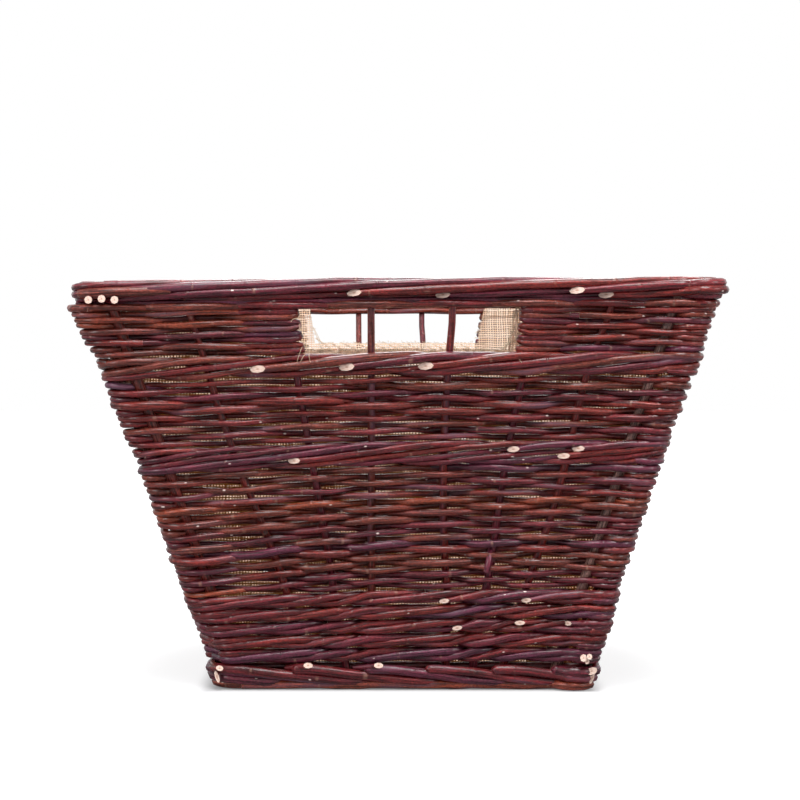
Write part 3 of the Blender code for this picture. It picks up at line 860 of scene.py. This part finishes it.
bundle = []
total = basket["round"] * border["laps"]
for loop, cuts in enumerate(shareCuts(border["cuts"], 2, border["laps"], rollHeight)):
    marks, here = [(0.0, False), (total, False)] + [(cut, True) for cut in cuts], 0.0
    while here < total:
        here += dice.uniform(*border["lengths"])
        # a hidden end lies low on the inner side
        phase = rollPhase(here, loop) / (2 * math.pi) % 1
        here += ((border["hiddenAt"] - phase) % 1) / border["turns"] * basket["round"]
        if all(abs(here - cut) > border["apart"] for cut in cuts) and total - here > border["lastApart"]:
            marks.append((here, False))
    marks.sort()
    for begin, end in zip(marks[:-1], marks[1:]):
        last = end[0] + (0 if end[1] else border["overrun"])
        stations = np.append(np.arange(begin[0], end[0] - 0.05, rodMesh["step"]), last)
        phase = rollPhase(stations, loop)
        radius = border["radius"] * dice.uniform(*border["sizes"])
        along = stations * border["between"]
        level = border["middleZ"] + border["upReach"] * np.sin(phase) + wander(along, border["rise"])
        inward = border["inward"] - border["acrossReach"] * np.cos(phase) + wander(along, border["rise"])
        thick = rodTaper(len(stations), radius, radius * border["taper"])
        thick, inward = showEnds(border, stations, begin, end, thick, inward)
        mood = (dice.uniform(*border["hues"]), dice.rand(), dice.rand() * 0.8)
        cut = (0.0, -2.2, 0.3) if begin[1] else None
        addRod(bundle, layRow(stations, inward, level), thick, mood, cuts=(cut, None))
stations = np.arange(0, basket["round"] + 0.01, 0.25)
for (depth, z, radius), mood in zip(border["cores"], (None, (0.1, 0.5, 0.2))):
    addRod(bundle, layRow(stations, depth, np.full(len(stations), z)), radius, mood)
# three rods of the left wall's border end in square cuts at the front left corner
stubs = {
    "across": ((-0.2430, -0.2510, 0.3237), (-0.2327, -0.2480, 0.3245), (-0.2226, -0.2450, 0.3237)),
    "front": -0.2590,
    "length": 0.060,
    "radius": 0.0031,
    "cornerRadii": (0.0048, 0.0040),
}
for x, behind, z in stubs["across"]:
    share = np.linspace(0, 1, 13)
    xs = x + (behind - x) * np.clip((share - 0.08) / 0.42, 0, 1) ** 0.8
    spots = np.c_[xs, stubs["front"] + share * stubs["length"], z + 0.006 * share ** 2]
    addRod(bundle, spots, stubs["radius"], mood=(0.3, 0.5, 0.2))
# and a thick one turns the corner above them
addRod(bundle, smoothLine(border["cornerRod"], 31), rodTaper(31, *stubs["cornerRadii"]))
makeRods("rimBorderRods", bundle, "top_border")

# Foot border: thick rods that run right and down, and tuck in under the next
foot = {
    "radius": 0.0044,
    "startsFront": (-0.1495, -0.0888, -0.0290, 0.0207, 0.0747, 0.1240),
    "startsElsewhere": (-0.150, -0.095, -0.038, 0.018, 0.072, 0.124),
    "length": 0.132,
    "lengths": (0.92, 1.08),  # shares of it
    "sizes": (0.90, 1.08),
    "taper": 0.12,
    "tuckFrom": 0.82,  # share of the length
    "tuckIn": 0.0085,
    "startReach": 0.10,
    "startOut": 0.0008,
    "startThin": 0.30,
    "hues": (0.0, 0.38),
    "highZ": 0.0178,
    "lowZ": 0.0064,
    "plumbZ": 0.012,  # where the places along the foot are measured
    "outward": -0.0004,  # depth of a rod's middle in the wall
    "rings": ((0.0047, 0.0008, 0.0041), (0.0046, 0.0115, 0.0040), (0.0186, 0.0130, 0.0038),
              (0.0118, 0.0095, 0.0040)),  # height, depth and radius
    "paleEnds": ((-0.1432, 0.0190), (-0.0772, 0.0214), (-0.0216, 0.0214)),
    "cornerRod": ((0.1570, -0.128, 0.0200), (0.1570, -0.1490, 0.0208), (0.1545, -0.1570, 0.0205),
                  (0.1535, -0.1592, 0.0165)),
}
bundle = []
stations = np.arange(0, basket["round"] + 0.01, rodMesh["step"])
for z, inward, radius in foot["rings"]:
    addRod(bundle, layOnWalls(stations, inward, z + wander(stations * rodMesh["apart"], 0.0004)), radius)
numbers = np.arange(-4, basket["round"] + 5)
halfRun = halfWidth(foot["plumbZ"]) - basket["cornerRadius"]
halfRun += math.pi / 4 * (basket["cornerRadius"] - basket["wall"] / 2)
runs = (numbers // 8 * 2 + 1) * halfRun + standingAt(numbers, np.full(len(numbers), foot["plumbZ"]))


def onFoot(wall, x, inward, level):
    return layOnWalls(np.interp((wall * 2 + 1) * halfRun + x, runs, numbers), inward, level)


for wall, outwardWay in enumerate(((0, -1, 0), (1, 0, 0), (0, 1, 0), (-1, 0, 0))):
    starts = foot["startsFront"] if wall == 0 else foot["startsElsewhere"] + dice.uniform(-0.006, 0.006, 6)
    for place, x in enumerate(starts):
        # on the other walls some start with a pale cut, and the rest with a round end
        pale = wall > 0 and place % 2 == 0
        share = np.append([0, 0.006, 0.015, 0.028], np.linspace(0.045, 1, 24))
        length = foot["length"] * dice.uniform(*foot["lengths"])
        fall = share * share * (3 - 2 * share)
        level = foot["highZ"] + (foot["lowZ"] - foot["highZ"]) * fall + wander(share * 0.13, 0.0005)
        tucked = np.clip((share - foot["tuckFrom"]) / (1 - foot["tuckFrom"]), 0, 1) ** 2
        starting = np.clip(1 - share / foot["startReach"], 0, 1)
        inward = foot["outward"] + foot["tuckIn"] * tucked - foot["startOut"] * starting
        spots = onFoot(wall, x + share * length, inward, level)
        thick = foot["radius"] * dice.uniform(*foot["sizes"]) * (1 - foot["taper"] * share)
        thick = thick * (1 - foot["startThin"] * starting if pale else np.sqrt(np.clip(share / 0.03, 0.003, 1)))
        mood = (dice.uniform(*foot["hues"]), dice.rand(), dice.rand())
        cut = np.array(outwardWay) * 1.7 + (0, 0, 0.5) if pale else None
        addRod(bundle, spots, thick, mood, cuts=(cut, None))
for x, up in foot["paleEnds"]:
    # the tip of a rod comes out between two others and ends in a pale cut
    share = np.linspace(0, 1, 10)
    spots = onFoot(0, x - 0.016 * (1 - share), 0.0050 - 0.0092 * share, up - 0.0030 * (1 - share))
    addRod(bundle, spots, 0.0026 - 0.0002 * share, cuts=(None, (0.35, -1.8, 0.5)))
# two rods end at the front corners with a long pale cut
for way, lean, front in ((-1, 0.0, 0.0), (1, 0.0070, 0.0045)):
    points = [(way * (x + lean), y - front, z) for x, y, z in foot["cornerRod"]]
    line = smoothLine([(way * (0.1555 + lean), -0.100, 0.0195)] + points, 25)
    addRod(bundle, line, rodTaper(25, 0.0040, 0.0019), cuts=(None, (way * 0.6, -2.8, 0.0)))
makeRods("footBorderRods", bundle, "foot_border")

# Stakes and corner sticks
for wall, wallName in enumerate(("front", "right", "back", "left")):
    for place in range(8):
        corner = {0: "corner_stick_left", 7: "corner_stick_right"}.get(place)
        name = f"{wallName}_{corner or f'stake_{place}'}"
        number = wall * 8 + place
        z = np.linspace(uprights["low"], uprights["high"], 34)
        sticks = []
        mood = (dice.uniform(0.1, 0.7), dice.rand(), dice.rand())
        addRod(sticks, layOnWalls(number, basket["wall"] / 2, z), stickRadius(number, z), mood)
        if name == "front_stake_5":
            share = np.linspace(0, 1, 12)
            x, z = uprights["buttEnd"][0] + 0.004 * share, uprights["buttEnd"][1] + 0.018 * share
            y = -halfWidth(z) - 0.0035 + 0.011 * share ** 2
            addRod(sticks, np.c_[x, y, z], 0.0026, mood=(0.12, 0.5, 0.3))
        label = name.title().replace("_", "")
        makeRods(label[0].lower() + label[1:], sticks, name,
                 greyBark if corner and name != "front_corner_stick_left" else darkBark, sides=10, twist="MINIMUM")

# Base: rods woven across seven sticks that run from front to back
base = {
    "stickRadius": 0.0032,
    "rodRadius": 0.0020,
    "z": 0.0095,
    "rows": 64,
    "half": 0.1424,
    "outermost": 0.1234,
    "sink": 0.0003,  # rods press into the sticks
}
sticksAcross = np.linspace(-base["outermost"], base["outermost"], 7)
for number, x in enumerate(sticksAcross, 1):
    ys = np.linspace(-base["half"], base["half"], 30)
    sticks = []
    addRod(sticks, np.c_[x + wander(ys, 0.0008), ys, np.full(30, base["z"])], base["stickRadius"])
    makeRods(f"baseStick{number}", sticks, f"base_stick_{number}", baseBark)
bundle = []
xs = np.linspace(-base["half"], base["half"], 72)
swing = np.cos(math.pi * (xs - sticksAcross[0]) / (sticksAcross[1] - sticksAcross[0]))
reach = base["stickRadius"] + base["rodRadius"] - base["sink"]
for row in range(base["rows"]):
    y = -base["half"] + (row + 0.5) * 2 * base["half"] / base["rows"]
    thick = rodTaper(72, base["rodRadius"] * 1.05, base["rodRadius"] * 0.92, row % 2 == 0)
    spots = np.c_[xs, y + wander(xs, 0.0003), base["z"] + reach * swing * (-1) ** row]
    addRod(bundle, spots, thick * dice.uniform(0.92, 1.0))
makeRods("baseRods", bundle, "base_weave", baseBark)


# ---- hessian liner

hessian = {
    "pitch": 0.0024,
    "thickness": 0.0007,
    "floorZ": 0.0172,
    "topZ": 0.3232,
    "hemLow": 0.3150,
    "depth": 0.0177,  # behind the wall's outer face
    "hemGap": 0.0011,
    "columns": 56,  # for each wall
    "cornerColumns": 6,
    "wallRows": 64,
    "floorRows": 16,
    "hemRows": 6,
    "wrinkle": 0.0016,
    "floorWrinkle": 0.0022,
    "holeLow": {-1: 0.2842, 1: 0.2880},  # front and back
    "holeHigh": 0.3245,
    "holeBottom": (-0.0785, 0.0868),
    "holeTop": (-0.0862, 0.0922),
    "nearWall": 0.19,  # further from the middle than this is the front or back wall
}


def linerRing(z, depth, scale=1.0):
    # one round of the cloth at height z: four straight runs and four tight corners
    straight = halfWidth(z) - basket["cornerRadius"]
    reach = basket["cornerRadius"] - depth
    run = np.linspace(-straight, straight, hessian["columns"] + 1)
    arc = np.linspace(0, math.pi / 2, hessian["cornerColumns"] + 1)[1:-1]
    x = np.concatenate([run, straight + reach * np.sin(arc)])
    y = np.concatenate([np.full(len(run), -(straight + reach)), -(straight + reach * np.cos(arc))])
    rounds = [np.c_[x * cos - y * sin, x * sin + y * cos] for cos, sin in ((1, 0), (0, 1), (-1, 0), (0, -1))]
    return np.concatenate(rounds + [rounds[0][:1]]) * scale


def softFolds(x, y, z):
    # slack in the cloth, 0 to 1: shallow waves that run down the walls and across the floor
    waves = np.sin(x * 37 + 1.3 + 1.4 * np.sin(z * 21)) + np.sin(y * 41 + 0.4 + 1.1 * np.sin(z * 17 + 2))
    waves = waves + 0.7 * np.sin(x * 83 + y * 61 + z * 29) + 0.5 * np.sin(x * 47 - y * 92 + z * 66 + 1)
    return (waves / 3.2 + 1) / 2


rings = []
for share in np.linspace(0, 1, hessian["floorRows"] + 1)[:-1]:
    flat = linerRing(hessian["floorZ"], hessian["depth"], share)
    folds = hessian["floorWrinkle"] * softFolds(*flat.T, 0) * (1 - share ** 6)
    rings.append(np.c_[flat, hessian["floorZ"] + folds])
for z in np.linspace(hessian["floorZ"], hessian["topZ"], hessian["wallRows"] + 1):
    flat = linerRing(z, hessian["depth"])
    slack = hessian["wrinkle"] * softFolds(*flat.T, z) * np.clip((hessian["topZ"] - z) / 0.03, 0, 1)
    rings.append(np.c_[flat * (1 - slack / np.abs(flat).max(1))[:, None], np.full(len(flat), z)])
# the hem turns over the top and comes down on the inside
for share in np.linspace(0, 1, hessian["hemRows"] + 1):
    z = hessian["topZ"] + 0.0004 - share * (hessian["topZ"] - hessian["hemLow"])
    gap = hessian["hemGap"] * (1 if share > 0 else 0.5)
    flat = linerRing(z, hessian["depth"] + gap + 0.0003 * share)
    flat = flat * (1 - 0.005 * softFolds(flat[:, 1] * 2, flat[:, 0] * 2, z) * share)[:, None]
    rings.append(np.c_[flat, z + 0.0007 * np.sin(flat[:, 0] * 310) * np.sin(flat[:, 1] * 270) * share])
rings = np.array(rings)
rows, columns = rings.shape[0] - 1, rings.shape[1] - 1
shape = bmesh.new()
bmesh.ops.create_grid(shape, x_segments=columns, y_segments=rows, size=1)
for vertex in shape.verts:
    vertex.co = rings[round((vertex.co.y + 1) / 2 * rows), round((vertex.co.x + 1) / 2 * columns)]
bmesh.ops.remove_doubles(shape, verts=shape.verts, dist=0.00002)

# openings behind the two hand holes: cut round, then emptied
for way in (-1, 1):
    low, high = hessian["holeLow"][way], hessian["holeHigh"]
    edges = [(bottom, (top - bottom) / (high - low))
             for bottom, top in zip(hessian["holeBottom"], hessian["holeTop"])]
    planes = [((0, 0, z), (0, 0, 1)) for z in (low, high)]
    planes += [((-way * x, 0, low), (-way, 0, -lean)) for x, lean in edges]
    for spot, normal in planes:
        there = [face for face in shape.faces if face.calc_center_median().y * way > hessian["nearWall"]]
        around = {v for face in there for v in face.verts}, {e for face in there for e in face.edges}
        bmesh.ops.bisect_plane(shape, geom=[*around[0], *around[1], *there], plane_co=spot,
                               plane_no=Vector(normal).normalized(), dist=0.00001)
    gone = []
    for face in shape.faces:
        x, y, z = face.calc_center_median()
        first, last = (place + lean * (z - low) for place, lean in edges)
        if y * way > hessian["nearWall"] and low < z < high and first < x * -way < last:
            gone.append(face)
    bmesh.ops.delete(shape, geom=gone, context="FACES")
bmesh.ops.recalc_face_normals(shape, faces=shape.faces)
sheetUv = shape.loops.layers.uv.new("clothUv")
slant = math.hypot(1, basket["lean"])
for face in shape.faces:
    face.smooth = True
    middle = face.calc_center_median()
    reach = max(abs(middle.x), abs(middle.y))
    onFloor = middle.z < hessian["floorZ"] + 0.004 and reach < halfWidth(0.017) - 0.018
    for loop in face.loops:
        x, y, z = loop.vert.co
        if onFloor:
            place = (x, y)
        elif abs(middle.y) > abs(middle.x):
            place = (x * (-1 if middle.y > 0 else 1), 0.14 + z * slant)
        else:
            place = (y * (1 if middle.x > 0 else -1) + 0.0005, 0.14 + z * slant)
        loop[sheetUv].uv = place
mesh = bpy.data.meshes.new("hessianLinerCloth")
shape.to_mesh(mesh)
shape.free()

# Plain weave of hessian: threads over and under, with open squares between them
clothWeave, taken = newGroup(
    "hessianWeave", [("Place", "Vector", None), ("Pitch", "Float", 0.0024), ("Thread Width", "Float", 0.44)],
    ["Height", "Open", "Shade"],
)
drift = vectors("SUBTRACT", noise(taken["Place"], (55, 55, 55), out="Color"), (0.5, 0.5, 0.5))
moved = vectors("ADD", taken["Place"], vectors("MULTIPLY", drift, (0.003, 0.003, 0.003)))
counted = [part / taken["Pitch"] for part in split(moved)[:2]]
wholes = [sums("FLOOR", count) for count in counted]
over = sums("ABSOLUTE", wholes[0] + wholes[1]) % 2.0
rounds, shades, beside = [], [], []
for axis, lift in enumerate((over, 1.0 - over)):
    line = wire("ShaderNodeCombineXYZ", {0: wholes[axis], 1: axis * 37.0})
    slub = wire("ShaderNodeTexWhiteNoise", {"Vector": line}, out="Value", noise_dimensions="3D")
    width = taken["Thread Width"] * ease(slub, 0.0, 1.0, 0.72, 1.22)
    offCentre = sums("ABSOLUTE", sums("FRACT", counted[axis]) * 2.0 - 1.0)
    inside = sums("LESS_THAN", offCentre, width)
    bulge = sums("MAXIMUM", 1.0 - (offCentre / width) ** 2.0, 0.0) * inside
    rounds.append(bulge * (lift * 0.6 + 0.4))
    shades.append(slub)
    beside.append(1.0 - inside)
top = sums("GREATER_THAN", *rounds)
closeGroup(clothWeave, Height=sums("MAXIMUM", *rounds), Open=beside[0] * beside[1],
           Shade=top * shades[0] + (1.0 - top) * shades[1])

# outer is the colour of painted shade, for the side of the cloth against the rods
clothTones = {"dark": (236, 200, 168), "mid": (251, 224, 198), "light": (255, 238, 221), "outer": (66, 34, 12),
              "glow": (246, 170, 84)}
clothSkin, tree, shader = newSkin("hessianCloth")
place = wire("ShaderNodeUVMap", tree=tree, uv_map="clothUv")
marks = wire("ShaderNodeGroup", {"Place": place, "Pitch": hessian["pitch"]}, out=None, node_tree=clothWeave)
colour = ramp(marks["Shade"], list(zip((0.0, 0.55, 1.0), map(clothTones.get, ("dark", "mid", "light")))))
# painted shade: the side against the rods is painted dark brown where the rods shade it, and the hollows between
# the threads are painted darker, most on that side
where = wire("ShaderNodeTexCoord", tree=tree, out="Object")
normal = wire("ShaderNodeNewGeometry", tree=tree, out="True Normal")
facing = vectors("DOT_PRODUCT", normal, vectors("SUBTRACT", where, (0.0, 0.0, 0.30)), out="Value")
# but the painted shade stops round the hand holes, where that side is lit
across, up = split(where)[::2]
beyondHole = sums("MAXIMUM", ease(sums("ABSOLUTE", across), 0.096, 0.106), ease(up, 0.276, 0.283, 1.0, 0.0))
shadedOuterSide = sums("GREATER_THAN", facing, 0.0) * beyondHole
colour = blend(shadedOuterSide * 0.95, colour, paint(*clothTones["outer"]))
# painted shade in the hollows between the threads, deepest on the shaded outer side
colour = shaded(colour, ease(marks["Height"], 0.0, 0.75, 0.70 - shadedOuterSide * 0.55, 1.06))
stain = ease(noise(place, (14, 14, 14), 3.0), 0.45, 0.75, 0.0, 0.25)
bump = bumps(marks["Height"], 0.8, 0.0005)
feed(shader, Base_Color=blend(stain, colour, paint(*clothTones["dark"])), Roughness=0.88, Normal=bump)
through = wire("ShaderNodeBsdfTranslucent", {"Color": paint(*clothTones["glow"]), "Normal": bump})
body = wire("ShaderNodeMixShader", {0: 0.19, 1: nodeValue(shader.outputs[0]), 2: through})
clear = wire("ShaderNodeBsdfTransparent", tree=tree)
plug(tree.nodes["Material Output"].inputs[0], wire("ShaderNodeMixShader", {0: marks["Open"], 1: body, 2: clear}))
mesh.materials.append(clothSkin)
liner = showPiece("hessianLinerCloth", mesh)
thicken = liner.modifiers.new("thickness", "SOLIDIFY")
thicken.thickness = hessian["thickness"]
thicken.offset = 0
fitPiece(liner, "hessian_liner")
print("liner hung")

# Stitches that hold the hem: each comes out of it, slants up over its edge and goes in between the rods
stitches = {
    "radius": 0.00045,
    "spacing": 0.011,
    "z": 0.3205,
    "slant": 0.0045,
    "whip": 0.00027,
    "fray": 0.00024,
    "frayLengths": (0.0010, 0.0034),
    "tail": 0.00022,
    "tails": (  # loose ends at the front hole, across and up
        ((-0.0774, 0.2868), (-0.0800, 0.2800), (-0.0815, 0.2749)),
        ((-0.0751, 0.2813), (-0.0768, 0.2790), (-0.0791, 0.2749)),
        ((-0.0719, 0.2844), (-0.0722, 0.2790), (-0.0705, 0.2718)),
        ((0.0924, 0.2821), (0.0948, 0.2760), (0.0990, 0.2710)),
        ((-0.0809, 0.3096), (-0.0840, 0.3088), (-0.0857, 0.3065)),
    ),
}
bundle = []
ring = linerRing(stitches["z"], hessian["depth"] + 0.0018)
ringAlong = np.append(0, np.cumsum(np.linalg.norm(np.diff(ring, axis=0), axis=1)))
for here in np.arange(0.004, ringAlong[-1], stitches["spacing"]):
    share = np.linspace(0, 1, 7)
    x, y = (np.interp(here + share * stitches["slant"], ringAlong, axis) for axis in ring.T)
    z = stitches["z"] - 0.004 + 0.0076 * share + dice.normal(0, 0.0003)
    pull = 1 + (np.sin(share * math.pi) * -0.0007 + (share > 0.9) * 0.004) / np.maximum(np.abs(x), np.abs(y))
    overHole = abs(y[0]) > abs(x[0]) and -0.088 < x[0] * (-1 if y[0] > 0 else 1) < 0.094
    if not overHole:
        addRod(bundle, np.c_[x * pull, y * pull, z], stitches["radius"])
makeRods("rimStitches", bundle, "rim_thread", threadSkin, threadSkin, sides=6)


def holeOutline(way, grow, depth):
    # the lower part of a hand hole's edge, from one upper corner down, along and up again
    low, high, bend = hessian["holeLow"][way] - grow, 0.3185, 0.006
    (left, right), (topLeft, topRight) = hessian["holeBottom"], hessian["holeTop"]
    left, right = left - grow, right + grow
    turnsAt = [(topLeft - grow, high), (left, low + bend), (left + bend, low), (right - bend, low),
               (right, low + bend), (topRight + grow, high)]
    line = []
    for start, stop in zip(turnsAt[:-1], turnsAt[1:]):
        steps = max(2, int(math.dist(start, stop) / 0.0012))
        line.append(np.linspace(start, stop, steps, endpoint=False))
    line = np.concatenate(line + [turnsAt[-1:]])
    spots = np.c_[line[:, 0], depth - halfWidth(line[:, 1]), line[:, 1]]
    return spots if way < 0 else spots * (-1, -1, 1)


for side, way in (("front", -1), ("back", 1)):
    bundle, at = [], 3
    inner = holeOutline(way, 0.0, hessian["depth"])
    outer = holeOutline(way, 0.0075, hessian["depth"] + 0.0006)
    # whip stitches over the raw edge
    share = np.linspace(0, 1, 9)
    while at < len(inner) - 6:
        a, b = outer[min(at, len(outer) - 1)], inner[min(at + 2, len(inner) - 1)]
        loop = a + (b - a) * np.sin(share * math.pi)[:, None] * 1.15
        loop[:, 1] += way * -0.0012 * np.cos(share * math.pi)
        loop[:, 0] += share * 0.0022 * dice.uniform(0.6, 1.2)
        addRod(bundle, loop, stitches["whip"])
        at += int(dice.randint(8, 14))
    # frayed thread ends along the cut
    share = np.linspace(0, 1, 4)[:, None]
    for spot in inner:
        if dice.rand() < 0.25:
            continue
        into = ((-0.007 * way - spot[0]) * 0.35, 0.0, 0.300 - spot[2])
        length = dice.uniform(*stitches["frayLengths"])
        bend = dice.normal(0, 0.0006, 3)
        line = spot + into / np.linalg.norm(into) * length * (share - 0.25) + bend * share ** 2
        addRod(bundle, line, stitches["fray"])
    for tail in stitches["tails"] if side == "front" else ():
        share = np.linspace(0, 2, 13)
        x, z = (np.interp(share, range(3), axis) for axis in zip(*tail))
        y = -(halfWidth(z) + 0.0012) + 0.004 * np.exp(-share * 3)
        addRod(bundle, np.c_[x + wander(z, 0.0003), y, z], stitches["tail"])
    makeRods(f"{side}HoleStitches", bundle, f"{side}_hole_thread", threadSkin, threadSkin,
             sides=6)


# ---- floor, light and camera

floor = bmesh.new()
bmesh.ops.create_grid(floor, x_segments=2, y_segments=2, size=6.0)
mesh = bpy.data.meshes.new("studioFloor")
floor.to_mesh(mesh)
floor.free()
floorSkin, tree, shader = newSkin("paleFloor")
where = wire("ShaderNodeTexCoord", tree=tree, out="Object")
across, along = split(where)[:2]
beside = sums("MAXIMUM", sums("ABSOLUTE", across), sums("ABSOLUTE", along))
# the floor glows less close to the foot, so that the basket's own shadow shows there; this also paints shade in a
# band round the foot
glow = ease(vectors("LENGTH", where, out="Value"), 0.22, 1.4, 0.80, 1.05) * ease(beside, 0.152, 0.176, 0.25, 1.0)
feed(shader, Base_Color=paint(160, 160, 162), Roughness=0.8, Emission_Color=(1, 1, 1, 1),
     Emission_Strength=wire("ShaderNodeLightPath", tree=tree, out="Is Camera Ray") * glow)
mesh.materials.append(floorSkin)
showPiece("studioFloor", mesh)

world = bpy.data.worlds.new("whiteStudio")
scene.world = world
world.use_nodes = True
back = world.node_tree.nodes["Background"]
seen = wire("ShaderNodeLightPath", tree=world.node_tree, out=None)
indoors = sums("MAXIMUM", seen["Is Glossy Ray"], seen["Is Transmission Ray"])
direct = sums("MAXIMUM", seen["Is Camera Ray"], indoors)
feed(back, Color=(1, 1, 1, 1), Strength=direct * 0.91 + 0.09)

lights = (  # place, aim, size and power
    ("topSoftbox", (0.0, -1.10, 2.1), (0.0, 0.0, 0.15), 1.0, 55.0),
    ("leftSoftbox", (-1.9, -1.5, 1.1), (0.0, 0.0, 0.2), 0.8, 23.0),
    ("rightSoftbox", (1.9, -1.5, 1.1), (0.0, 0.0, 0.2), 0.8, 23.0),
    ("rearSoftbox", (0.0, 1.7, 1.9), (0.0, 0.0, 0.25), 1.1, 34.0),
)
for name, place, target, size, power in lights:
    lamp = bpy.data.lights.new(name, "AREA")
    lamp.size = size
    lamp.energy = power
    holder = showPiece(name, lamp)
    holder.location = place
    holder.rotation_euler = (Vector(target) - Vector(place)).to_track_quat("-Z", "Y").to_euler()

view = {"place": (0.0, -1.832, 0.2955), "focalPixels": 2016, "picture": 800, "sensor": 36.0, "horizonAbove": 64}
cameraData = bpy.data.cameras.new("photoCamera")
cameraData.sensor_width = view["sensor"]
cameraData.lens = view["focalPixels"] / view["picture"] * view["sensor"]
camera = showPiece("photoCamera", cameraData)
camera.location = view["place"]
camera.rotation_euler = (math.pi / 2 - math.atan(view["horizonAbove"] / view["focalPixels"]), 0, 0)
scene.camera = camera
scene.view_settings.view_transform = "Standard"
print("stage set")
